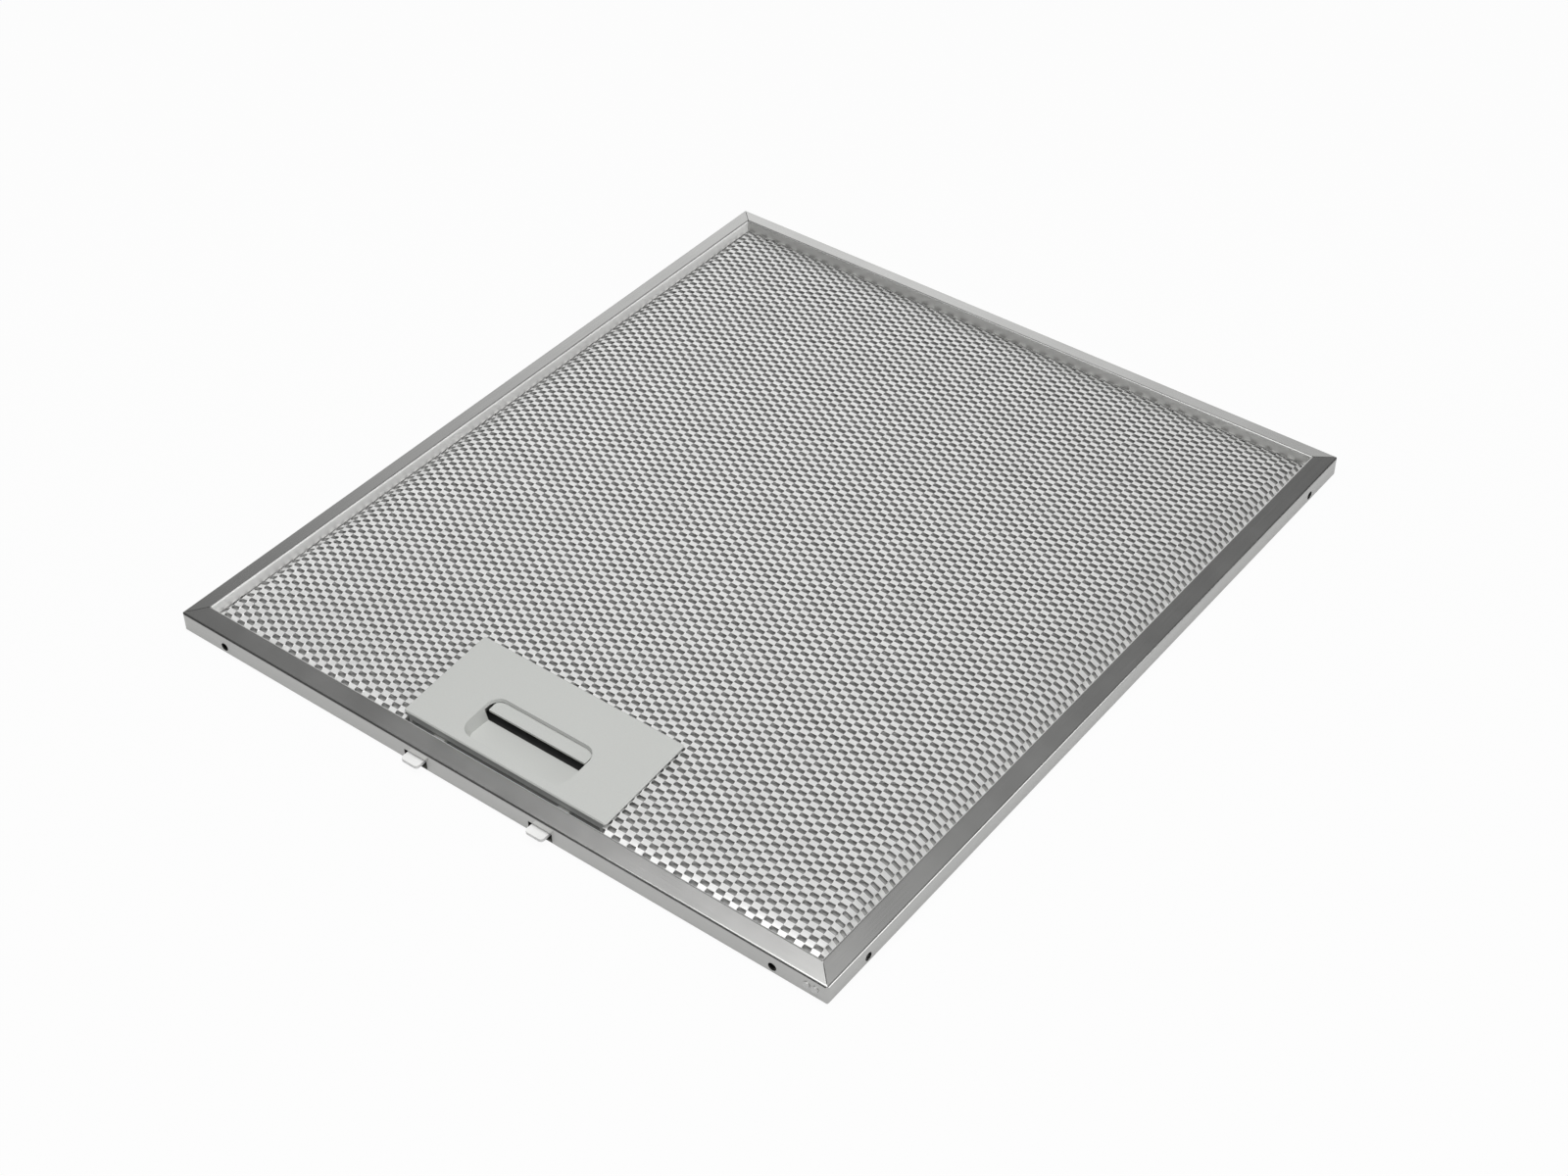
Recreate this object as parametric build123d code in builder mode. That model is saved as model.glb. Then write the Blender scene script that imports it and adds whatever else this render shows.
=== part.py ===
"""Cooker hood grease filter, in millimetres.

X runs across, Y from the latch edge to the rear edge, Z up. The origin is the middle of the
frame's outer rectangle, on the plane that the filter lies on.
"""
import os
from math import exp

from build123d import *

# Frame strip
frame_width = 267.5
frame_length = 305.5
strip_thickness = 0.6
wall_height = 7.5
crest_height = 8.95
flange_width = 7.25
lip_mesh_gap = 0.1
base_flange_width = 7.0
bend_radius = 1.0
crest_radius = 0.7
corner_radius = 1.5
mitre_gap = 0.2

# Drain holes, a pair in each wall
drain_diameter = 3.0
drain_from_corner = 20.0
drain_height = 3.0

# Seam at the front right corner, where the strip's end laps inside the front wall
seam_length = 12.0
seam_bottom = 1.4
seam_top = 6.2
rivet_diameter = 1.5
rivet_head_diameter = 2.4
rivet_head_height = 0.4
rivet_from_corner = 4.6
rivet_spacing = 3.0
rivet_height = 3.9

# Mesh pack
mesh_thickness = 0.5
mesh_edge_gap = 1.4
inner_layers = 5
crown_height = 12.0
edge_rise_share = 0.36
edge_rise_length = 4.0
crown_power_across = 8.0
crown_power_along = 2.4
side_plateau_factor = 1.2
slope_steps = 9
front_ridge_pitch = 3.55
front_ridge_depth = 0.7
inner_ridge_pitch = 24.0
inner_ridge_depth = 0.8
rear_ridge_height = 0.4
rear_ridge_pitch = 10.65

# Diamond gaps in the mesh
gap_width = 4.6
gap_length = 2.6
gap_pitch_x = 40.0
gap_pitch_y = 55.0
gap_columns = 6
gap_rows = 5

# Handle plate, tilted because it lies on the crowned mesh
plate_width = 84.0
plate_length = 39.0
plate_thickness = 1.2
plate_corner = 1.0
plate_edge_bevel = 0.4
plate_tilt = 5.2
plate_front_height = 8.2
plate_lip_gap = 3.05

# Finger recess in the plate, with a level floor and drafted walls
recess_width = 42.8
recess_length = 18.2
recess_from_front = 3.4
recess_corner = 4.8
recess_draft = 17.0
recess_wall = 1.1
recess_floor_height = 4.5
recess_floor_length = 12.0

# Handle tray under the mesh
tray_width = 81.0
tray_floor = 1.2
tray_wall = 1.3
tray_rear_setback = 0.6
tray_rim = 2.5
tray_frame_gap = 0.45
tray_mesh_gap = 0.5
tray_lintel_height = 4.6

# Latch slider
latch_offset = -1.5
tongue_spacing = 52.0
tongue_width = 7.0
tongue_reach = 3.3
tongue_length = 6.6
tongue_thickness = 2.4
tongue_corner = 1.2
tongue_lead = 1.2
slot_side_gap = 1.3
slot_top_gap = 0.6
arm_width = 4.6
arm_thickness = 2.0
running_gap = 0.3
finger_bar_side_gap = 1.3
finger_bar_front_gap = 0.8
finger_bar_length = 14.5
finger_bar_thickness = 0.9
finger_web = 3.0
bridge_length = 3.0
spring_seat_thickness = 1.6

# Latch springs
spring_diameter = 4.4
spring_wire = 0.6
spring_turns = 3
spring_floor_gap = 0.3

# Values that follow from the sizes above
front_wall_y = -frame_length / 2
window_half_width = frame_width / 2 - flange_width
window_half_length = frame_length / 2 - flange_width
mesh_half_width = frame_width / 2 - strip_thickness - mesh_edge_gap
mesh_half_length = frame_length / 2 - strip_thickness - mesh_edge_gap
front_border = strip_thickness + mesh_thickness * (inner_layers + 2)
front_rise = crown_height - front_border
lip_bottom = front_border + lip_mesh_gap
gap_corners = [(gap_width / 2, 0), (0, gap_length / 2), (-gap_width / 2, 0), (0, -gap_length / 2)]

plate_front_y = front_wall_y + flange_width + plate_lip_gap
plate_plane = Plane((0, plate_front_y, plate_front_height)).rotated((plate_tilt, 0, 0))
plate_underside = plate_plane.offset(-plate_thickness)
finger_bar_top = plate_underside.offset(-running_gap)
plate_slope = plate_plane.y_dir.Z / plate_plane.y_dir.Y
plate_rear_y = plate_front_y + plate_length * plate_plane.y_dir.Y

tray_front_y = front_wall_y + base_flange_width + tray_frame_gap
tray_rear_y = plate_rear_y - tray_rear_setback

recess_front_y = plate_front_y + recess_from_front
recess_floor_end_y = recess_front_y + recess_floor_length

latch_bottom = tray_floor + running_gap
latch_x = [latch_offset - tongue_spacing / 2, latch_offset + tongue_spacing / 2]
tongue_tip_y = front_wall_y - tongue_reach
finger_bar_front_y = recess_floor_end_y + finger_bar_front_gap
finger_bar_rear_y = finger_bar_front_y + finger_bar_length
bridge_rear_y = finger_bar_front_y + finger_bar_length - finger_web - bridge_length
bridge_front_y = bridge_rear_y - bridge_length
spring_axis_z = tray_floor + spring_floor_gap + spring_diameter / 2
spring_front_y = bridge_rear_y
spring_rear_y = tray_rear_y - tray_wall

os.makedirs("parts", exist_ok=True)

# Frame: one strip bent to a channel, mitred at the corners
section_plane = Plane((0, front_wall_y, 0), x_dir=(0, 1, 0), z_dir=(1, 0, 0))
with BuildPart() as frame:
    with BuildLine() as frame_path:
        Polyline(
            (0, front_wall_y),
            (frame_width / 2, front_wall_y),
            (frame_width / 2, -front_wall_y),
            (-frame_width / 2, -front_wall_y),
            (-frame_width / 2, front_wall_y),
            close=True,
        )
    with BuildSketch(section_plane):
        with BuildLine():
            FilletPolyline(
                (base_flange_width, 0),
                (0, 0),
                (0, wall_height),
                (flange_width, crest_height),
                (flange_width, lip_bottom),
                radius=(bend_radius, bend_radius, crest_radius),
            )
            offset(amount=strip_thickness, side=Side.RIGHT)
        make_face()
    sweep(path=frame_path.line, transition=Transition.RIGHT)
    # Mitre slits in both flanges, up to the wall
    with BuildSketch(Plane.XY):
        for turn_x, turn_y in [(1, 1), (1, -1), (-1, 1), (-1, -1)]:
            corner = (turn_x * frame_width / 2, turn_y * frame_length / 2)
            slit_start = 2 * strip_thickness
            slit_end = flange_width + base_flange_width
            with BuildLine():
                Line(
                    (corner[0] - turn_x * slit_start, corner[1] - turn_y * slit_start),
                    (corner[0] - turn_x * slit_end, corner[1] - turn_y * slit_end),
                )
            trace(line_width=mitre_gap)
    extrude(amount=crest_height, mode=Mode.SUBTRACT)
    # Rounded wall corners
    with BuildSketch(Plane.XY.offset(bend_radius)):
        RectangleRounded(frame_width, frame_length, corner_radius)
        RectangleRounded(
            frame_width - 2 * strip_thickness,
            frame_length - 2 * strip_thickness,
            corner_radius - strip_thickness,
            mode=Mode.SUBTRACT,
        )
    extrude(amount=wall_height - 2 * bend_radius)
    with BuildSketch(Plane.XY):
        RectangleRounded(frame_width, frame_length, corner_radius)
    extrude(amount=crest_height, mode=Mode.INTERSECT)
    # Seam lap behind the front wall
    with BuildSketch(Plane.XY.offset(seam_bottom)):
        with Locations((frame_width / 2 - strip_thickness, front_wall_y + strip_thickness)):
            Rectangle(seam_length, strip_thickness, align=(Align.MAX, Align.MIN))
    extrude(amount=seam_top - seam_bottom)
    # Drain holes, each pair cut through both opposite walls
    with BuildSketch(Plane.XZ):
        with Locations(
            (frame_width / 2 - drain_from_corner, drain_height),
            (drain_from_corner - frame_width / 2, drain_height),
        ):
            Circle(drain_diameter / 2)
    extrude(amount=frame_length, both=True, mode=Mode.SUBTRACT)
    with BuildSketch(Plane.YZ):
        with Locations(
            (frame_length / 2 - drain_from_corner, drain_height),
            (drain_from_corner - frame_length / 2, drain_height),
        ):
            Circle(drain_diameter / 2)
    extrude(amount=frame_width, both=True, mode=Mode.SUBTRACT)
    # Tongue slots and rivet holes in the front wall
    with BuildSketch(Plane.XZ.offset(frame_length / 2 - bend_radius - strip_thickness)):
        with Locations([(x, latch_bottom - slot_top_gap) for x in latch_x]):
            Rectangle(
                tongue_width + 2 * slot_side_gap,
                tongue_thickness + 2 * slot_top_gap,
                align=(Align.CENTER, Align.MIN),
            )
        with Locations(
            (frame_width / 2 - rivet_from_corner, rivet_height),
            (frame_width / 2 - rivet_from_corner - rivet_spacing, rivet_height),
        ):
            Circle(rivet_diameter / 2)
    extrude(amount=bend_radius + strip_thickness, mode=Mode.SUBTRACT)
frame.part.label = "frame"
export_step(frame.part, "parts/frame.step")

# Corner rivets: shank through wall and lap, a low head on each side
with BuildPart() as corner_rivets:
    for rivet_x in [
        frame_width / 2 - rivet_from_corner,
        frame_width / 2 - rivet_from_corner - rivet_spacing,
    ]:
        with BuildSketch(Plane.XZ.offset(frame_length / 2)):
            with Locations((rivet_x, rivet_height)):
                Circle(rivet_head_diameter / 2)
        extrude(amount=rivet_head_height)
        with BuildSketch(Plane.XZ.offset(frame_length / 2)):
            with Locations((rivet_x, rivet_height)):
                Circle(rivet_diameter / 2)
        extrude(amount=-2 * strip_thickness)
        with BuildSketch(Plane.XZ.offset(frame_length / 2 - 2 * strip_thickness)):
            with Locations((rivet_x, rivet_height)):
                Circle(rivet_head_diameter / 2)
        extrude(amount=-rivet_head_height)
corner_rivets.part.label = "corner_rivets"
export_step(corner_rivets.part, "parts/corner_rivets.step")


def crown_share(position, half_window, power):
    """Share of the full rise at a distance from the middle: a quick edge, then a slow crown."""
    inside = max(0.0, half_window - abs(position))
    edge = edge_rise_share * (1 - exp(-inside / edge_rise_length))
    body = (1 - edge_rise_share) * (1 - (1 - inside / half_window) ** power)
    return edge + body


def ridged_profile(half_window, half_sheet, border, rise, power, pitch, depth):
    """Top line of a sheet that is folded into ridges between flat borders."""
    ridges = round(2 * half_window / pitch)
    step = half_window / ridges
    points = [(-half_sheet, border)]
    for index in range(2 * ridges + 1):
        position = -half_window + index * step
        share = crown_share(position, half_window, power)
        valley = depth * share if index % 2 else 0.0
        points.append((position, border + rise * share - valley))
    points.append((half_sheet, border))
    return points


def smooth_profile(half_window, half_sheet, border, rise, power):
    """Top line of a sheet with no ridges, with short steps near its edges."""
    rising = []
    for index in range(slope_steps + 1):
        position = -half_window + half_window * (index / slope_steps) ** 2
        rising.append((position, border + rise * crown_share(position, half_window, power)))
    falling = [(-position, height) for position, height in reversed(rising[:-1])]
    return [(-half_sheet, border)] + rising + falling + [(half_sheet, border)]


def closed_below(points, bottom):
    """The profile closed to a face by a flat line below it."""
    return points + [(points[-1][0], bottom), (points[0][0], bottom)]


def handle_cutout_outline():
    """Corners of the notch that every mesh layer leaves for the handle."""
    half = tray_width / 2 + tray_mesh_gap
    rear = tray_rear_y + tray_mesh_gap
    return [(-half, -frame_length), (half, -frame_length), (half, rear), (-half, rear)]


def gap_places(shift):
    """Centres of one grid of diamond gaps, clear of the handle; shift 1 fills the spaces of shift 0."""
    places = []
    for column in range(gap_columns - shift):
        for row in range(gap_rows - shift):
            x = (column - (gap_columns - 1 - shift) / 2) * gap_pitch_x
            y = (row - (gap_rows - 1 - shift) / 2) * gap_pitch_y
            beside_handle = abs(x) < tray_width / 2 + tray_rim + gap_width
            if not (beside_handle and y < tray_rear_y + tray_rim + gap_length):
                places.append((x, y))
    return places


def crowned_sheet(border, rise, pitch, depth):
    """A mesh layer: flat borders under the flanges, crowned and ridged between them."""
    side_rise = rise * side_plateau_factor
    across_points = smooth_profile(
        window_half_width, mesh_half_width, border, side_rise, crown_power_across
    )
    along_points = ridged_profile(
        window_half_length, mesh_half_length, border, rise, crown_power_along, pitch, depth
    )
    bottom = border - 2 * mesh_thickness
    with BuildPart() as sheet:
        with BuildSketch(Plane.YZ):
            with BuildLine():
                Polyline(*closed_below(along_points, bottom), close=True)
            make_face()
        extrude(amount=mesh_half_width, both=True)
        with BuildSketch(Plane.XZ):
            with BuildLine():
                Polyline(*closed_below(across_points, bottom), close=True)
            make_face()
        extrude(amount=mesh_half_length, both=True, mode=Mode.INTERSECT)
        lower_side = sheet.part.moved(Location((0, 0, -mesh_thickness)))
        add(lower_side, mode=Mode.SUBTRACT)
        with BuildSketch(Plane.XY):
            with BuildLine():
                Polyline(*handle_cutout_outline(), close=True)
            make_face()
        extrude(amount=2 * crown_height, mode=Mode.SUBTRACT)
    return sheet.part


# Front mesh: fine ridges across the filter and rows of diamond gaps
with BuildPart() as front_mesh:
    add(crowned_sheet(front_border, front_rise, front_ridge_pitch, front_ridge_depth))
    with BuildSketch(Plane.XY):
        with Locations(gap_places(0) + gap_places(1)):
            Polygon(*gap_corners)
    extrude(amount=2 * crown_height, mode=Mode.SUBTRACT)
front_mesh.part.label = "front_mesh"
export_step(front_mesh.part, "parts/front_mesh.step")

# Inner meshes: coarser ridges, each layer rising less than the one above it
for layer in range(1, inner_layers + 1):
    layer_border = strip_thickness + mesh_thickness * (layer + 1)
    layer_rise = front_rise * layer / (inner_layers + 1)
    inner_mesh = crowned_sheet(layer_border, layer_rise, inner_ridge_pitch, inner_ridge_depth)
    inner_mesh.label = f"inner_mesh_{layer}"
    export_step(inner_mesh, f"parts/inner_mesh_{layer}.step")

# Rear mesh: flat, with ridges and gaps between the frame's lower flanges
with BuildPart() as rear_mesh:
    with BuildSketch(Plane.XY.offset(strip_thickness)):
        Rectangle(2 * mesh_half_width, 2 * mesh_half_length)
    extrude(amount=mesh_thickness)
    rear_half_width = frame_width / 2 - base_flange_width - tray_frame_gap
    rear_half_length = frame_length / 2 - base_flange_width - tray_frame_gap
    rear_ridges = int(2 * rear_half_length / rear_ridge_pitch)
    with BuildSketch(Plane.YZ):
        for ridge in range(rear_ridges):
            ridge_y = (ridge - (rear_ridges - 1) / 2) * rear_ridge_pitch
            with Locations((ridge_y, strip_thickness)):
                Polygon(
                    (-rear_ridge_pitch / 4, 0),
                    (0, -rear_ridge_height),
                    (rear_ridge_pitch / 4, 0),
                    align=None,
                )
    extrude(amount=rear_half_width, both=True)
    rim_half_width = tray_width / 2 + tray_rim + tray_mesh_gap
    rim_rear_y = tray_rear_y + tray_rim + tray_mesh_gap
    with BuildSketch(Plane.XY):
        with Locations((0, rim_rear_y)):
            Rectangle(2 * rim_half_width, frame_length, align=(Align.CENTER, Align.MAX))
    extrude(amount=strip_thickness, mode=Mode.SUBTRACT)
    with BuildSketch(Plane.XY):
        with BuildLine():
            Polyline(*handle_cutout_outline(), close=True)
        make_face()
        with Locations(gap_places(0)):
            Polygon(*gap_corners)
    extrude(amount=crown_height, mode=Mode.SUBTRACT)
rear_mesh.part.label = "rear_mesh"
export_step(rear_mesh.part, "parts/rear_mesh.step")


def drafted_pocket(wall):
    """Rounded block that narrows downwards from the plate's top, down to the recess floor less a wall."""
    with BuildPart() as pocket:
        with BuildSketch(plate_plane):
            with Locations((0, recess_from_front + recess_length / 2)):
                RectangleRounded(
                    recess_width + 2 * wall, recess_length + 2 * wall, recess_corner + wall
                )
        extrude(amount=-crown_height / 2, taper=recess_draft)
        split(bisect_by=Plane.XY.offset(recess_floor_height - wall), keep=Keep.TOP)
    return pocket.part


# Handle plate: tilted plate with the sunk finger recess, whose floor stops short of the finger bar
with BuildPart() as recess_shell:
    add(drafted_pocket(recess_wall))
    split(bisect_by=Plane.XZ.offset(-recess_floor_end_y), keep=Keep.TOP)
with BuildPart() as handle_plate:
    with BuildSketch(plate_plane):
        with Locations((0, plate_length / 2)):
            RectangleRounded(plate_width, plate_length, plate_corner)
    extrude(amount=-plate_thickness)
    chamfer(faces().sort_by(Axis.Z)[-1].edges(), plate_edge_bevel)
    add(recess_shell.part)
    add(drafted_pocket(0), mode=Mode.SUBTRACT)
handle_plate.part.label = "handle_plate"
export_step(handle_plate.part, "parts/handle_plate.step")

# Handle tray: floor, walls up to the plate, a lintel over the latch arms and a rim under the mesh
with BuildPart() as handle_tray:
    with BuildSketch(Plane.XY):
        with Locations((0, tray_front_y)):
            Rectangle(tray_width, tray_rear_y - tray_front_y, align=(Align.CENTER, Align.MIN))
    extrude(amount=tray_floor)
    with BuildSketch(Plane.XY):
        with Locations((0, tray_front_y)):
            Rectangle(
                tray_width + 2 * tray_rim,
                tray_rear_y - tray_front_y + tray_rim,
                align=(Align.CENTER, Align.MIN),
            )
    extrude(amount=strip_thickness)
    with BuildSketch(Plane.XY):
        with Locations((0, plate_front_y + tray_rear_setback)):
            Rectangle(
                tray_width,
                tray_rear_y - plate_front_y - tray_rear_setback,
                align=(Align.CENTER, Align.MIN),
            )
            Rectangle(
                tray_width - 2 * tray_wall,
                tray_rear_y - plate_front_y - tray_rear_setback - tray_wall,
                align=(Align.CENTER, Align.MIN),
                mode=Mode.SUBTRACT,
            )
    extrude(amount=2 * crown_height)
    with BuildSketch(Plane.XY.offset(tray_lintel_height)):
        with Locations((0, plate_front_y + tray_rear_setback)):
            Rectangle(tray_width, tray_wall, align=(Align.CENTER, Align.MIN))
    extrude(amount=2 * crown_height)
    split(bisect_by=plate_underside, keep=Keep.BOTTOM)
handle_tray.part.label = "handle_tray"
export_step(handle_tray.part, "parts/handle_tray.step")

# Latch slider: two tongues on arms, a bridge and the undercut finger bar
with BuildPart() as latch_slider:
    with BuildSketch(Plane.XY.offset(latch_bottom)):
        with Locations([(x, tongue_tip_y) for x in latch_x]):
            Rectangle(tongue_width, tongue_length, align=(Align.CENTER, Align.MIN))
        fillet(vertices().group_by(Axis.Y)[0], tongue_corner)
    extrude(amount=tongue_thickness)
    lead_edges = edges().group_by(Axis.Z)[0].filter_by(Axis.X).group_by(Axis.Y)[0]
    chamfer(lead_edges, tongue_lead)
    with BuildSketch(Plane.XY.offset(latch_bottom)):
        with Locations([(x, tongue_tip_y + tongue_length / 2) for x in latch_x]):
            Rectangle(
                arm_width,
                bridge_rear_y - tongue_tip_y - tongue_length / 2,
                align=(Align.CENTER, Align.MIN),
            )
        with Locations((latch_offset, bridge_front_y)):
            Rectangle(tongue_spacing, bridge_length, align=(Align.CENTER, Align.MIN))
        with Locations((0, bridge_front_y)):
            Rectangle(
                recess_width - 2 * finger_bar_side_gap,
                finger_bar_rear_y - bridge_front_y,
                align=(Align.CENTER, Align.MIN),
            )
    extrude(amount=arm_thickness)
    with BuildSketch(Plane.XY.offset(latch_bottom)):
        with Locations([(x, bridge_rear_y) for x in latch_x]):
            Rectangle(spring_diameter, spring_seat_thickness, align=(Align.CENTER, Align.MAX))
    extrude(amount=spring_axis_z + spring_diameter / 2 - latch_bottom)
    with BuildSketch(Plane.XY.offset(latch_bottom)):
        with Locations((0, finger_bar_rear_y)):
            Rectangle(
                recess_width - 2 * finger_bar_side_gap, finger_web, align=(Align.CENTER, Align.MAX)
            )
    extrude(amount=crown_height)
    with BuildSketch(finger_bar_top):
        with Locations((0, (finger_bar_front_y - plate_front_y) / plate_plane.y_dir.Y)):
            Rectangle(
                recess_width - 2 * finger_bar_side_gap,
                finger_bar_length,
                align=(Align.CENTER, Align.MIN),
            )
    extrude(amount=-finger_bar_thickness)
    split(bisect_by=finger_bar_top, keep=Keep.BOTTOM)
latch_slider.part.label = "latch_slider"
export_step(latch_slider.part, "parts/latch_slider.step")

# Latch springs: one coil behind each arm
with BuildPart() as latch_springs:
    coil_length = spring_rear_y - spring_front_y - spring_wire
    for x in latch_x:
        with BuildLine() as coil:
            Helix(
                pitch=coil_length / spring_turns,
                height=coil_length,
                radius=(spring_diameter - spring_wire) / 2,
                center=(x, spring_front_y + spring_wire / 2, spring_axis_z),
                direction=(0, 1, 0),
            )
        with BuildSketch(Plane(coil.line @ 0, z_dir=coil.line % 0)):
            Rectangle(spring_wire, spring_wire)
        sweep(path=coil.line, is_frenet=True)
latch_springs.part.label = "latch_springs"
export_step(latch_springs.part, "parts/latch_springs.step")
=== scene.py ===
"""Looks of the cooker hood filter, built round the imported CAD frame. Lengths are in metres."""
from math import cos, exp, pi, radians, sin

import bmesh
import bpy
from mathutils import Matrix, Vector, noise


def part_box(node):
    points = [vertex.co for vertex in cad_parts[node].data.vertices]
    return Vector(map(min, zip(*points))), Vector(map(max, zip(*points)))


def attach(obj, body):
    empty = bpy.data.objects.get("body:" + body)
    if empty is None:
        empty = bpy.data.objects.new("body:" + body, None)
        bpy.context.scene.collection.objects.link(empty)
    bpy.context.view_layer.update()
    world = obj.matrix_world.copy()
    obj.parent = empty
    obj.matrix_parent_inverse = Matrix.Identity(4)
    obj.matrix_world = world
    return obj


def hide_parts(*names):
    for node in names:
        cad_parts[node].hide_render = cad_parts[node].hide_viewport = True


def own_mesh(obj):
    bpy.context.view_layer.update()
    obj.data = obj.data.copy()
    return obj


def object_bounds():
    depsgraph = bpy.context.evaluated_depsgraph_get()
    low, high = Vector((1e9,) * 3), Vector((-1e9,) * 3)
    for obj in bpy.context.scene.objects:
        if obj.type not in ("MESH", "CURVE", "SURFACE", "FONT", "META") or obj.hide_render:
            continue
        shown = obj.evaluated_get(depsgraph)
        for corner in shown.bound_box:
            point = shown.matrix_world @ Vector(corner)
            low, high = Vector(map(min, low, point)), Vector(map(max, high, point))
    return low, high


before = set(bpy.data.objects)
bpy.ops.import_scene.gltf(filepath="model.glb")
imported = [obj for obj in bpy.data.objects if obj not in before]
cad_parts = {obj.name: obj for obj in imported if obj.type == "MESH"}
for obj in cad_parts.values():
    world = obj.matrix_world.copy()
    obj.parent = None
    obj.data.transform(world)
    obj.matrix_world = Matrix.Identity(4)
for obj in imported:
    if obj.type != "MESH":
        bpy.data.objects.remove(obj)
cad_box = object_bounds()

MM = 0.001

# Camera, from the straight edges of the frame in the photograph; angles are in degrees
camera_place = Vector((0.41177, -0.53556, 0.57357))
camera_turn = 37.43
camera_rise = 41.21
camera_roll = -0.29
camera_lens = 58.77
camera_sensor = 36.0

# Expanded metal of the two outer sheets
diamond_long = 6.02 * MM
diamond_short = 3.53 * MM
strand_width = 1.1 * MM
strand_thickness = 0.36 * MM
strand_tilt = radians(-9)
bond_length = 2.85 * MM
strand_waver = 0.05 * MM
waver_scale = 260.0
weld_distance = 0.001 * MM
rear_sheet_level = 0.45 * MM

# Crown of the front sheet, as the source has it
edge_rise_share = 0.36
edge_rise_length = 4.0 * MM
crown_power_across = 8.0
crown_power_along = 2.4
side_plateau_factor = 1.2

# How sharply the crown's two slopes meet, and the share of its rise that counts as none
crown_rounding = 7.0
least_share = 0.001

# Frame and handle; the slot is counted from the front edge of the handle plate
inner_layers = 5
flange_width = 7.25 * MM
tray_floor = 1.2 * MM
slot_from_front = 15.4 * MM

# How far the front sheet runs in under the handle plate
notch_side_cover = 1.2 * MM
notch_rear_cover = 0.6 * MM

# Bands that are painted apart from the rest of their piece: the long lips and the tongues with painted
# highlight, the tray floor with painted shade
lip_margin = 0.3 * MM
pale_tongue_length = 5.0 * MM
dark_floor_margin = 0.3 * MM

# Latch springs
spring_turns = 3
spring_wire = 0.6 * MM
spring_sides = 10
spring_steps = 24

# Colours, each from its darker to its lighter shade
satin_metal = [(0.54, 0.54, 0.53), (0.62, 0.62, 0.61)]
# Pale colour of the frame's long lips, a painted highlight that stands in for the bright reflection they
# show
painted_lip_highlight_metal = [(0.84, 0.84, 0.83), (0.92, 0.92, 0.91)]
strand_metal = [(0.85, 0.85, 0.84), (0.93, 0.93, 0.92)]
foil_metal = [(0.33, 0.33, 0.33), (0.44, 0.44, 0.43)]
rivet_metal = [(0.66, 0.66, 0.65), (0.74, 0.74, 0.73)]
wire_metal = [(0.42, 0.42, 0.43), (0.55, 0.55, 0.56)]
plate_grey = [(0.53, 0.54, 0.52), (0.58, 0.59, 0.57)]
tray_grey = [(0.47, 0.48, 0.47), (0.53, 0.54, 0.53)]
latch_grey = [(0.53, 0.54, 0.52), (0.59, 0.6, 0.58)]
# Pale colour of the latch's tongues, a painted highlight where they stand in full light
tongue_painted_highlight = [(0.86, 0.86, 0.85), (0.92, 0.92, 0.91)]
# Painted shade for the tray's floor behind the slot
painted_slot_shade = [(0.05, 0.05, 0.05), (0.08, 0.08, 0.08)]

# Roughness, each from its lower to its higher value, and what the frame's lips add to it
satin_roughness = (0.2, 0.27)
lip_roughness = (0.0, 0.3)
strand_roughness = (0.3, 0.42)
foil_roughness = (0.5, 0.65)
rivet_roughness = (0.3, 0.46)
wire_roughness = (0.25, 0.4)
plate_roughness = (0.42, 0.55)
tray_roughness = (0.5, 0.65)
latch_roughness = (0.4, 0.5)

# How metallic a surface looks; the frame's goes from its satin to its pale lips, which are made less
# metallic for their painted highlight
frame_metallic = (1.0, 0.15)
strand_metallic = 0.4

# Noise scales of the surface effects
rolling_lines = 2600.0
rolling_stretch = 0.012
moulding_grain = 2200.0
frame_marks = 35.0
strand_marks = 90.0
foil_marks = 500.0
rivet_marks = 700.0
wire_marks = 900.0
plastic_marks = 30.0
paint_marks = 200.0
strand_scuffs = 1200.0

# Reliefs, each with its strength and its depth
rolling_relief = (0.15, 0.02 * MM)
strand_relief = (0.2, 0.03 * MM)
moulding_relief = (0.2, 0.04 * MM)
wire_relief = (0.1, 0.02 * MM)

# Floor and room
floor_half_size = 30.0
floor_gap = 0.05 * MM
paper_grey = 0.62
paper_seen = 0.95
paper_mirrored = 0.2
room_level = 0.19


# Node helpers

def new_node(tree, kind, inputs=None, **settings):
    """A node with its settings; each input takes a plain value or another node's output."""
    made = tree.nodes.new(kind)
    for name, value in settings.items():
        setattr(made, name, value)
    for name, value in (inputs or {}).items():
        if isinstance(value, bpy.types.NodeSocket):
            tree.links.new(value, made.inputs[name])
        else:
            made.inputs[name].default_value = value
    return made


def new_group(name, inputs, outputs):
    """An empty shader node group with float sockets, and its input and output nodes."""
    group = bpy.data.node_groups.new(name, "ShaderNodeTree")
    for title, default in inputs.items():
        socket = group.interface.new_socket(title, in_out="INPUT", socket_type="NodeSocketFloat")
        socket.default_value = default
    for title in outputs:
        group.interface.new_socket(title, in_out="OUTPUT", socket_type="NodeSocketFloat")
    return group, group.nodes.new("NodeGroupInput"), group.nodes.new("NodeGroupOutput")


def computed(tree, operation, *values):
    """The result of a math node."""
    return new_node(tree, "ShaderNodeMath", dict(enumerate(values)), operation=operation).outputs[0]


def remap(tree, value, low, high, source_low=0.0, source_high=1.0):
    """The value moved from its own range to low and high."""
    mapped = new_node(
        tree,
        "ShaderNodeMapRange",
        {
            "Value": value,
            "From Min": source_low,
            "From Max": source_high,
            "To Min": low,
            "To Max": high,
        },
    )
    return mapped.outputs["Result"]


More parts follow.
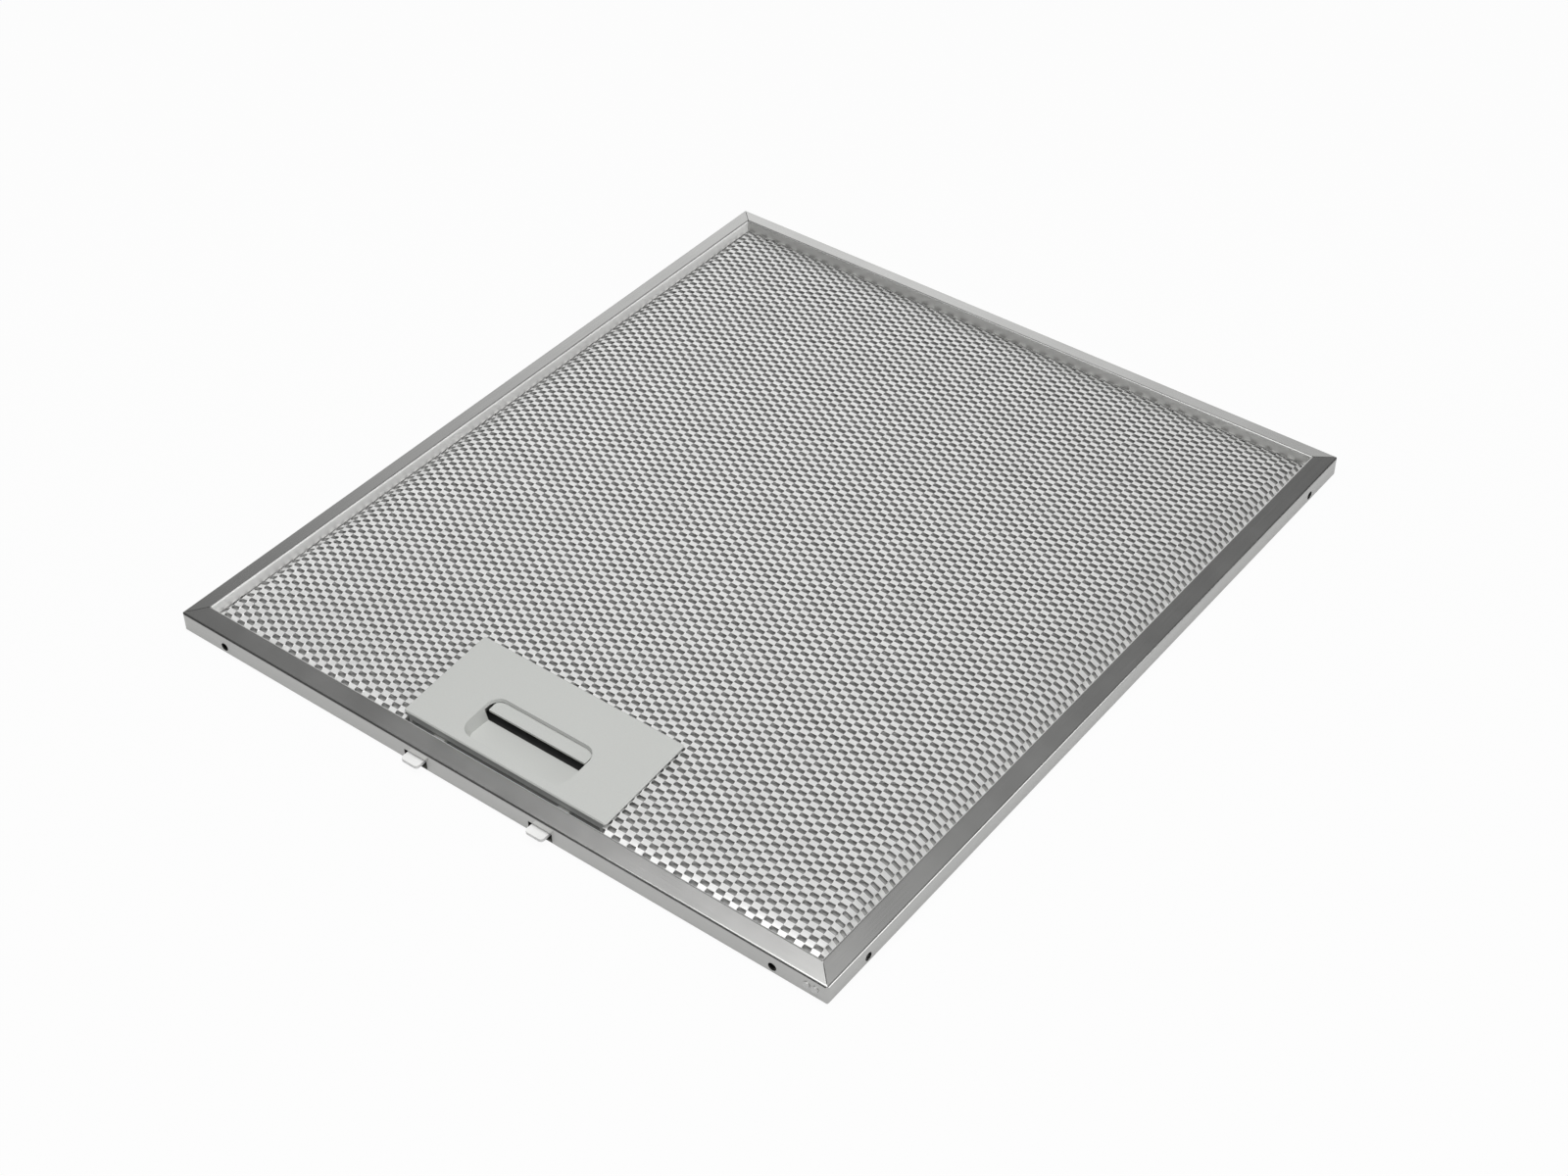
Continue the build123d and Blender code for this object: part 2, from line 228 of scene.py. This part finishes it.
def blended(tree, first, second, factor):
    """A colour between two others."""
    mixed = new_node(tree, "ShaderNodeMix", {"Factor": factor, 6: first, 7: second}, data_type="RGBA")
    return mixed.outputs[2]


def tinted(tree, shades, factor):
    """A colour between a darker and a lighter shade."""
    dark, light = shades
    return blended(tree, (*dark, 1.0), (*light, 1.0), factor)


def object_point(tree):
    """The shaded point in the filter's own frame."""
    return new_node(tree, "ShaderNodeTexCoord").outputs["Object"]


# Shared surface effects

def make_handling_marks():
    """Cloudy patches where a surface has been wiped and touched."""
    group, given, out = new_group("handling_marks", {"Scale": 40.0}, ["Mask"])
    broad = new_node(
        group,
        "ShaderNodeTexNoise",
        {
            "Vector": object_point(group),
            "Scale": given.outputs["Scale"],
            "Detail": 4.0,
            "Roughness": 0.6,
        },
    )
    group.links.new(remap(group, broad.outputs["Fac"], 0.0, 1.0, 0.3, 0.7), out.inputs["Mask"])
    return group


def make_strip_grain():
    """Fine rolling lines that follow each side of the frame and turn at the mitres."""
    group, given, out = new_group("strip_grain", {"Fineness": rolling_lines}, ["Lines"])
    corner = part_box("frame")[1]
    place = object_point(group)
    split = new_node(group, "ShaderNodeSeparateXYZ", {"Vector": place})
    across = computed(group, "ABSOLUTE", split.outputs["X"])
    along = computed(group, "ABSOLUTE", split.outputs["Y"])
    excess = computed(group, "SUBTRACT", across, along)
    side_rail = computed(group, "GREATER_THAN", excess, corner.x - corner.y)
    stretched = []
    for squeeze in [(rolling_stretch, 1.0, 1.0), (1.0, rolling_stretch, 1.0)]:
        vector = new_node(
            group, "ShaderNodeVectorMath", {0: place, 1: squeeze}, operation="MULTIPLY"
        )
        lines = new_node(
            group,
            "ShaderNodeTexNoise",
            {"Vector": vector.outputs[0], "Scale": given.outputs["Fineness"], "Detail": 2.0},
        )
        stretched.append(lines.outputs["Fac"])
    chosen = new_node(
        group,
        "ShaderNodeMix",
        {0: side_rail, 2: stretched[0], 3: stretched[1]},
        data_type="FLOAT",
    )
    group.links.new(chosen.outputs[0], out.inputs["Lines"])
    return group


def make_moulded_skin():
    """Fine spark-eroded grain of a plastic moulding."""
    group, given, out = new_group("moulded_skin", {"Scale": moulding_grain}, ["Grain"])
    grain = new_node(
        group,
        "ShaderNodeTexNoise",
        {
            "Vector": object_point(group),
            "Scale": given.outputs["Scale"],
            "Detail": 2.0,
            "Roughness": 0.5,
        },
    )
    group.links.new(grain.outputs["Fac"], out.inputs["Grain"])
    return group


def make_band():
    """One where a coordinate's distance from a place is less than a reach, and zero elsewhere."""
    group, given, out = new_group("band", {"Value": 0.0, "Place": 0.0, "Reach": 1.0}, ["Mask"])
    near = computed(
        group, "COMPARE", given.outputs["Value"], given.outputs["Place"], given.outputs["Reach"]
    )
    group.links.new(near, out.inputs["Mask"])
    return group


handling_marks = make_handling_marks()
strip_grain = make_strip_grain()
moulded_skin = make_moulded_skin()
band = make_band()


def placed_group(tree, group, inputs):
    """The result of one use of a shared effect in a material."""
    return new_node(tree, "ShaderNodeGroup", inputs, node_tree=group).outputs[0]


def banded(tree, axis, place, reach):
    """Marks what lies at one distance from the middle of the filter along an axis."""
    split = new_node(tree, "ShaderNodeSeparateXYZ", {"Vector": object_point(tree)})
    distance = computed(tree, "ABSOLUTE", split.outputs[axis])
    return placed_group(tree, band, {"Value": distance, "Place": place, "Reach": reach})


def surface_material(name, metallic):
    """An empty material with its shader."""
    material = bpy.data.materials.new(name)
    material.use_nodes = True
    shader = material.node_tree.nodes["Principled BSDF"]
    shader.inputs["Metallic"].default_value = metallic
    return material, material.node_tree, shader


def bumped(tree, shader, height, relief):
    """Gives the shader a fine relief from a height value."""
    strength, depth = relief
    raised = new_node(
        tree, "ShaderNodeBump", {"Height": height, "Strength": strength, "Distance": depth}
    )
    tree.links.new(raised.outputs["Normal"], shader.inputs["Normal"])


# Materials

def lip_mask(tree, axis, reach, other_axis, other_reach):
    """Marks the lips of the two rails across one axis, as far as the rails across the other."""
    rails = banded(tree, axis, reach - flange_width, lip_margin)
    between = banded(tree, other_axis, 0.0, other_reach - flange_width)
    return computed(tree, "MULTIPLY", rails, between)


def rolled_aluminium():
    """Satin strip of the frame, with blunt lips; those on its two long rails are painted pale and less
    metallic, a painted highlight.
    """
    material, tree, shader = surface_material("rolled_aluminium", 1.0)
    lines = placed_group(tree, strip_grain, {"Fineness": rolling_lines})
    marks = placed_group(tree, handling_marks, {"Scale": frame_marks})
    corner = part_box("frame")[1]
    long_lips = lip_mask(tree, "X", corner.x, "Y", corner.y)
    end_lips = lip_mask(tree, "Y", corner.y, "X", corner.x)
    lips = computed(tree, "MAXIMUM", long_lips, end_lips)
    satin = tinted(tree, satin_metal, lines)
    # The long lips are painted pale, a painted highlight in place of the reflection they show
    painted_lip_highlight = tinted(tree, painted_lip_highlight_metal, marks)
    tree.links.new(blended(tree, satin, painted_lip_highlight, long_lips), shader.inputs["Base Color"])
    sheen = remap(tree, marks, *satin_roughness)
    blunted = computed(tree, "ADD", sheen, remap(tree, lips, *lip_roughness))
    tree.links.new(blunted, shader.inputs["Roughness"])
    tree.links.new(remap(tree, long_lips, *frame_metallic), shader.inputs["Metallic"])
    bumped(tree, shader, lines, rolling_relief)
    return material


def expanded_metal(name, shades, scale, roughness):
    """Cut and stretched aluminium, duller where the tool has scuffed it."""
    material, tree, shader = surface_material(name, strand_metallic)
    marks = placed_group(tree, handling_marks, {"Scale": scale})
    scuffs = placed_group(tree, handling_marks, {"Scale": strand_scuffs})
    tree.links.new(tinted(tree, shades, marks), shader.inputs["Base Color"])
    tree.links.new(remap(tree, scuffs, *roughness), shader.inputs["Roughness"])
    bumped(tree, shader, scuffs, strand_relief)
    return material


def moulded_plastic(name, shades, roughness):
    """Matt grey moulding."""
    material, tree, shader = surface_material(name, 0.0)
    grain = placed_group(tree, moulded_skin, {"Scale": moulding_grain})
    marks = placed_group(tree, handling_marks, {"Scale": plastic_marks})
    tree.links.new(tinted(tree, shades, grain), shader.inputs["Base Color"])
    tree.links.new(remap(tree, marks, *roughness), shader.inputs["Roughness"])
    bumped(tree, shader, grain, moulding_relief)
    return material


def repaint(material, shades, mask):
    """Gives another colour to what a mask marks."""
    tree = material.node_tree
    shader = tree.nodes["Principled BSDF"]
    usual = shader.inputs["Base Color"].links[0].from_socket
    marks = placed_group(tree, handling_marks, {"Scale": paint_marks})
    other = tinted(tree, shades, marks)
    tree.links.new(blended(tree, usual, other, mask), shader.inputs["Base Color"])


def latch_plastic():
    """The latch's grey moulding, with the tongues that stand out of the frame painted paler, a painted
    highlight where they stand in full light.
    """
    material = moulded_plastic("latch_grey", latch_grey, latch_roughness)
    front = -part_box("latch_slider")[0].y
    # The tongues are painted paler, a painted highlight where they stand in full light
    repaint(material, tongue_painted_highlight, banded(material.node_tree, "Y", front, pale_tongue_length))
    return material


def tray_plastic():
    """The tray's grey moulding, with painted shade on its floor behind the slot, which is black in the
    photograph.
    """
    material = moulded_plastic("tray_grey", tray_grey, tray_roughness)
    tree = material.node_tree
    front = -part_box("handle_plate")[0].y
    floor = banded(tree, "Z", tray_floor, dark_floor_margin)
    behind = banded(tree, "Y", 0.0, front - slot_from_front)
    # The tray's floor behind the slot is painted dark, a painted shade
    repaint(material, painted_slot_shade, computed(tree, "MULTIPLY", floor, behind))
    return material


def drawn_steel():
    """Spring wire."""
    material, tree, shader = surface_material("drawn_steel", 1.0)
    marks = placed_group(tree, handling_marks, {"Scale": wire_marks})
    tree.links.new(tinted(tree, wire_metal, marks), shader.inputs["Base Color"])
    tree.links.new(remap(tree, marks, *wire_roughness), shader.inputs["Roughness"])
    bumped(tree, shader, marks, wire_relief)
    return material


strand_finish = expanded_metal("bright_strands", strand_metal, strand_marks, strand_roughness)
foil_finish = expanded_metal("inner_foil", foil_metal, foil_marks, foil_roughness)
spring_finish = drawn_steel()

node_finishes = {
    "frame": rolled_aluminium(),
    "corner_rivets": expanded_metal("rivet_heads", rivet_metal, rivet_marks, rivet_roughness),
    "handle_plate": moulded_plastic("plate_grey", plate_grey, plate_roughness),
    "handle_tray": tray_plastic(),
    "latch_slider": latch_plastic(),
}
for layer in range(1, inner_layers + 1):
    node_finishes[f"inner_mesh_{layer}"] = foil_finish
for node_name, finish in node_finishes.items():
    for material_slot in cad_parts[node_name].material_slots:
        material_slot.material = finish


def new_piece(name, bm, finish, slot, body, *nodes):
    """Makes an object of a finished mesh, rides it on its body and hides the nodes it stands for."""
    mesh = bpy.data.meshes.new(name)
    bm.to_mesh(mesh)
    bm.free()
    piece = bpy.data.objects.new(name, mesh)
    bpy.context.scene.collection.objects.link(piece)
    mesh.materials.append(finish)
    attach(piece, body)
    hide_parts(*nodes)
    return piece


# Expanded metal sheets

def drawn_strand(bm):
    """One strand over one diamond: bond, slope, bond, slope, with a wedge section."""
    flat = Vector((0, cos(strand_tilt), sin(strand_tilt)))
    below = Vector((0, sin(strand_tilt), -cos(strand_tilt)))
    start = Vector((-bond_length / 2, 0, 0)) + flat * strand_width / 2
    corners = [
        bm.verts.new(start - flat * strand_width / 2),
        bm.verts.new(start + flat * strand_width / 2),
        bm.verts.new(start + below * strand_thickness),
    ]
    rim = [bm.edges.new((corners[index - 1], corners[index])) for index in range(3)]
    slope_run = diamond_long / 2 - bond_length
    rise = Vector((0, diamond_short / 2, 0)) - flat * strand_width
    steps = [
        Vector((bond_length, 0, 0)),
        Vector((slope_run, 0, 0)) + rise,
        Vector((bond_length, 0, 0)),
        Vector((slope_run, 0, 0)) - rise,
    ]
    for step in steps:
        grown = bmesh.ops.extrude_edge_only(bm, edges=rim)["geom"]
        ends = [item for item in grown if isinstance(item, bmesh.types.BMVert)]
        rim = [
            item
            for item in grown
            if isinstance(item, bmesh.types.BMEdge) and all(end in ends for end in item.verts)
        ]
        bmesh.ops.translate(bm, verts=ends, vec=step)


def repeat(bm, step, count):
    """Copies what the mesh holds until it stands count times, one step apart."""
    source = bm.verts[:] + bm.edges[:] + bm.faces[:]
    for index in range(1, count):
        copied = bmesh.ops.duplicate(bm, geom=source)["geom"]
        moved = [item for item in copied if isinstance(item, bmesh.types.BMVert)]
        bmesh.ops.translate(bm, verts=moved, vec=Vector(step) * index)


def close_ends(bm):
    """Caps the open ends of strands and wires."""
    open_ends = [edge for edge in bm.edges if edge.is_boundary]
    bmesh.ops.holes_fill(bm, edges=open_ends, sides=0)


def expanded_sheet(columns, rows):
    """A flat sheet of diamonds, centred on the filter."""
    bm = bmesh.new()
    drawn_strand(bm)
    repeat(bm, (diamond_long, 0, 0), columns)
    bmesh.ops.remove_doubles(bm, verts=bm.verts[:], dist=weld_distance)
    close_ends(bm)
    bmesh.ops.recalc_face_normals(bm, faces=bm.faces[:])
    repeat(bm, (diamond_long / 2, diamond_short / 2, 0), 2)
    repeat(bm, (0, diamond_short, 0), rows)
    middle = Vector((diamond_long * (columns - 0.5), diamond_short * rows, 0)) / 2
    bmesh.ops.translate(bm, verts=bm.verts[:], vec=-middle)
    return bm


def cut_notch(bm, half_width, rear):
    """Cuts the strands back where the handle passes through the sheet."""
    margin = diamond_long
    near = [
        face
        for face in bm.faces
        if abs(face.calc_center_median().x) < half_width + margin
        and face.calc_center_median().y < rear + margin
    ]
    sides = [
        (Vector((half_width, 0, 0)), Vector((1, 0, 0))),
        (Vector((-half_width, 0, 0)), Vector((1, 0, 0))),
        (Vector((0, rear, 0)), Vector((0, 1, 0))),
    ]
    for place, normal in sides:
        edges = {edge for face in near for edge in face.edges}
        verts = {vert for face in near for vert in face.verts}
        cut = bmesh.ops.bisect_plane(
            bm, geom=near + list(edges) + list(verts), plane_co=place, plane_no=normal
        )
        near = [item for item in cut["geom"] if isinstance(item, bmesh.types.BMFace)]
    inside = [
        face
        for face in near
        if abs(face.calc_center_median().x) < half_width and face.calc_center_median().y < rear
    ]
    bmesh.ops.delete(bm, geom=inside, context="FACES")
    close_ends(bm)


def crown_share(position, half_window, power):
    """Share of the full rise at a distance from the middle: a quick edge, then a slow crown."""
    inside = max(0.0, half_window - abs(position))
    edge = edge_rise_share * (1 - exp(-inside / edge_rise_length))
    body = (1 - edge_rise_share) * (1 - (1 - inside / half_window) ** power)
    return edge + body


def crown_height(x, y, half_x, half_y):
    """Share of the rise with the two slopes rounded into each other."""
    across = side_plateau_factor * crown_share(x, half_x, crown_power_across)
    along = crown_share(y, half_y, crown_power_along)
    if min(across, along) < least_share:
        return 0.0
    peak = (side_plateau_factor ** -crown_rounding + 1) ** (-1 / crown_rounding)
    return (across ** -crown_rounding + along ** -crown_rounding) ** (-1 / crown_rounding) / peak


def waver(place):
    """Small wandering of hand-fed metal."""
    return noise.noise_vector(place * waver_scale) * strand_waver


sheet_low, sheet_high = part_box("front_mesh")
sheet_columns = int(2 * sheet_high.x / diamond_long - 0.5)
sheet_rows = int(2 * sheet_high.y / diamond_short - 0.5)


def front_sheet():
    """The crowned sheet on the side with the handle."""
    bm = expanded_sheet(sheet_columns, sheet_rows)
    plate_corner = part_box("handle_plate")[1]
    cut_notch(bm, plate_corner.x - notch_side_cover, plate_corner.y - notch_rear_cover)
    half_x = -cad_box[0][0] - flange_width
    half_y = cad_box[1][1] - flange_width
    border = sheet_low.z + strand_thickness
    rise = sheet_high.z - border - strand_width * abs(sin(strand_tilt)) - strand_waver
    for vert in bm.verts:
        vert.co += waver(vert.co)
        vert.co.z += border + rise * crown_height(vert.co.x, vert.co.y, half_x, half_y)
    new_piece("front_strands", bm, strand_finish, "mesh_metal", "filter", "front_mesh")


def rear_sheet():
    """The flat sheet on the hidden side, which is the same sheet turned over."""
    bm = expanded_sheet(sheet_columns, sheet_rows)
    rim_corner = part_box("handle_tray")[1]
    cut_notch(bm, rim_corner.x, rim_corner.y)
    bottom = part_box("rear_mesh")[0].z
    for vert in bm.verts:
        vert.co += waver(vert.co)
        vert.co.z = bottom + rear_sheet_level - vert.co.z
    bmesh.ops.reverse_faces(bm, faces=bm.faces[:])
    new_piece("rear_strands", bm, strand_finish, "mesh_metal", "filter", "rear_mesh")


front_sheet()
rear_sheet()


# Latch springs

def coil_springs():
    """Two coils of spring wire at one fixed length; the real ones shorten as the latch is pulled back.
    """
    low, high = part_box("latch_springs")
    radius = (high.z - low.z - spring_wire) / 2
    run = high.y - low.y - spring_wire
    middle_z = (low.z + high.z) / 2
    bm = bmesh.new()
    for middle_x in [low.x + radius + spring_wire / 2, high.x - radius - spring_wire / 2]:
        wire = bmesh.ops.create_circle(bm, segments=spring_sides, radius=spring_wire / 2)["verts"]
        place = Matrix.Translation((middle_x + radius, low.y + spring_wire / 2, middle_z))
        bmesh.ops.transform(bm, matrix=place, verts=wire)
        ring = list({edge for vert in wire for edge in vert.link_edges})
        bmesh.ops.spin(
            bm,
            geom=wire + ring,
            cent=(middle_x, low.y, middle_z),
            axis=(0, 1, 0),
            dvec=(0, run / (spring_turns * spring_steps), 0),
            angle=2 * pi * spring_turns,
            steps=spring_turns * spring_steps,
        )
    close_ends(bm)
    bmesh.ops.recalc_face_normals(bm, faces=bm.faces[:])
    for face in bm.faces:
        face.smooth = True
    piece = new_piece("coil_springs", bm, spring_finish, "spring_steel", "filter", "latch_springs")
    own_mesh(piece)


coil_springs()


# Floor, light and camera

def studio_paper():
    """Paper that is white to the eye, dim in the metal and pale grey to the light."""
    material = bpy.data.materials.new("studio_paper")
    material.use_nodes = True
    tree = material.node_tree
    tree.nodes.clear()
    paper = new_node(tree, "ShaderNodeBsdfDiffuse", {"Color": (paper_grey, paper_grey, paper_grey, 1.0)})
    white = new_node(tree, "ShaderNodeEmission", {"Color": (1, 1, 1, 1), "Strength": 1.0})
    ray = new_node(tree, "ShaderNodeLightPath").outputs
    mirrored = computed(tree, "MAXIMUM", ray["Is Glossy Ray"], ray["Is Transmission Ray"])
    dimmed = computed(tree, "MULTIPLY", mirrored, paper_mirrored)
    seen = computed(tree, "MULTIPLY", ray["Is Camera Ray"], paper_seen)
    amount = computed(tree, "MAXIMUM", seen, dimmed)
    mixed = new_node(
        tree, "ShaderNodeMixShader", {0: amount, 1: paper.outputs[0], 2: white.outputs[0]}
    )
    new_node(tree, "ShaderNodeOutputMaterial", {"Surface": mixed.outputs[0]})
    return material


def studio_floor():
    """A wide sheet of paper just under the filter."""
    bm = bmesh.new()
    bmesh.ops.create_grid(bm, x_segments=2, y_segments=2, size=floor_half_size)
    mesh = bpy.data.meshes.new("studio_floor")
    bm.to_mesh(mesh)
    bm.free()
    mesh.materials.append(studio_paper())
    floor = bpy.data.objects.new("studio_floor", mesh)
    bpy.context.scene.collection.objects.link(floor)
    floor.location.z = cad_box[0][2] - floor_gap


def soft_box(name, place, size_x, size_y, brightness):
    """A panel of light that faces the filter, with its brightness as seen in a mirror."""
    lamp = bpy.data.lights.new(name, "AREA")
    lamp.shape = "RECTANGLE"
    lamp.size = size_x
    lamp.size_y = size_y
    lamp.energy = brightness * pi * size_x * size_y
    panel = bpy.data.objects.new(name, lamp)
    bpy.context.scene.collection.objects.link(panel)
    panel.location = place
    panel.rotation_euler = (-Vector(place)).to_track_quat("-Z", "Y").to_euler()


def soft_patch(tree, direction, inner, outer, level):
    """Brightness of a round patch of the room that fades between two angles from its middle."""
    view = new_node(tree, "ShaderNodeTexCoord").outputs["Generated"]
    middle = Vector(direction).normalized()
    nearness = new_node(
        tree, "ShaderNodeVectorMath", {0: view, 1: middle}, operation="DOT_PRODUCT"
    )
    fade = new_node(
        tree,
        "ShaderNodeMapRange",
        {
            "Value": nearness.outputs["Value"],
            "From Min": cos(radians(outer)),
            "From Max": cos(radians(inner)),
            "To Min": 0.0,
            "To Max": level,
        },
        interpolation_type="SMOOTHSTEP",
    )
    return fade.outputs["Result"]


def studio_light():
    """A key panel overhead and a card on the right, in a room with lighter and darker corners."""
    soft_box("key_panel", place=(0.15, -0.38, 1.2), size_x=1.2, size_y=1.2, brightness=2.55)
    soft_box("side_card", place=(1.33, 0.28, 0.34), size_x=1.4, size_y=0.6, brightness=2.0)
    world = bpy.data.worlds.new("studio_room")
    bpy.context.scene.world = world
    world.use_nodes = True
    tree = world.node_tree
    ceiling = soft_patch(tree, direction=(0.05, 0.05, 0.99), inner=12, outer=36, level=1.0)
    far_wall = soft_patch(tree, direction=(-0.57, 0.77, 0.22), inner=0, outer=27, level=0.85)
    near_shade = soft_patch(tree, direction=(-0.5, -0.7, 0.5), inner=15, outer=50, level=-0.12)
    far_shade = soft_patch(tree, direction=(0.6, 0.74, 0.3), inner=8, outer=25, level=-0.12)
    room = room_level
    for patch in [ceiling, far_wall, near_shade, far_shade]:
        room = computed(tree, "ADD", patch, room)
    tree.links.new(room, tree.nodes["Background"].inputs["Color"])


def photo_camera():
    """The photograph's own viewpoint."""
    lens = bpy.data.cameras.new("photo_camera")
    lens.lens = camera_lens
    lens.sensor_width = camera_sensor
    lens.sensor_fit = "HORIZONTAL"
    camera = bpy.data.objects.new("photo_camera", lens)
    bpy.context.scene.collection.objects.link(camera)
    camera.matrix_world = (
        Matrix.Translation(camera_place)
        @ Matrix.Rotation(radians(camera_turn), 4, "Z")
        @ Matrix.Rotation(radians(90 - camera_rise), 4, "X")
        @ Matrix.Rotation(radians(camera_roll), 4, "Z")
    )
    bpy.context.scene.camera = camera


studio_floor()
studio_light()
photo_camera()
bpy.context.scene.view_settings.view_transform = "Standard"
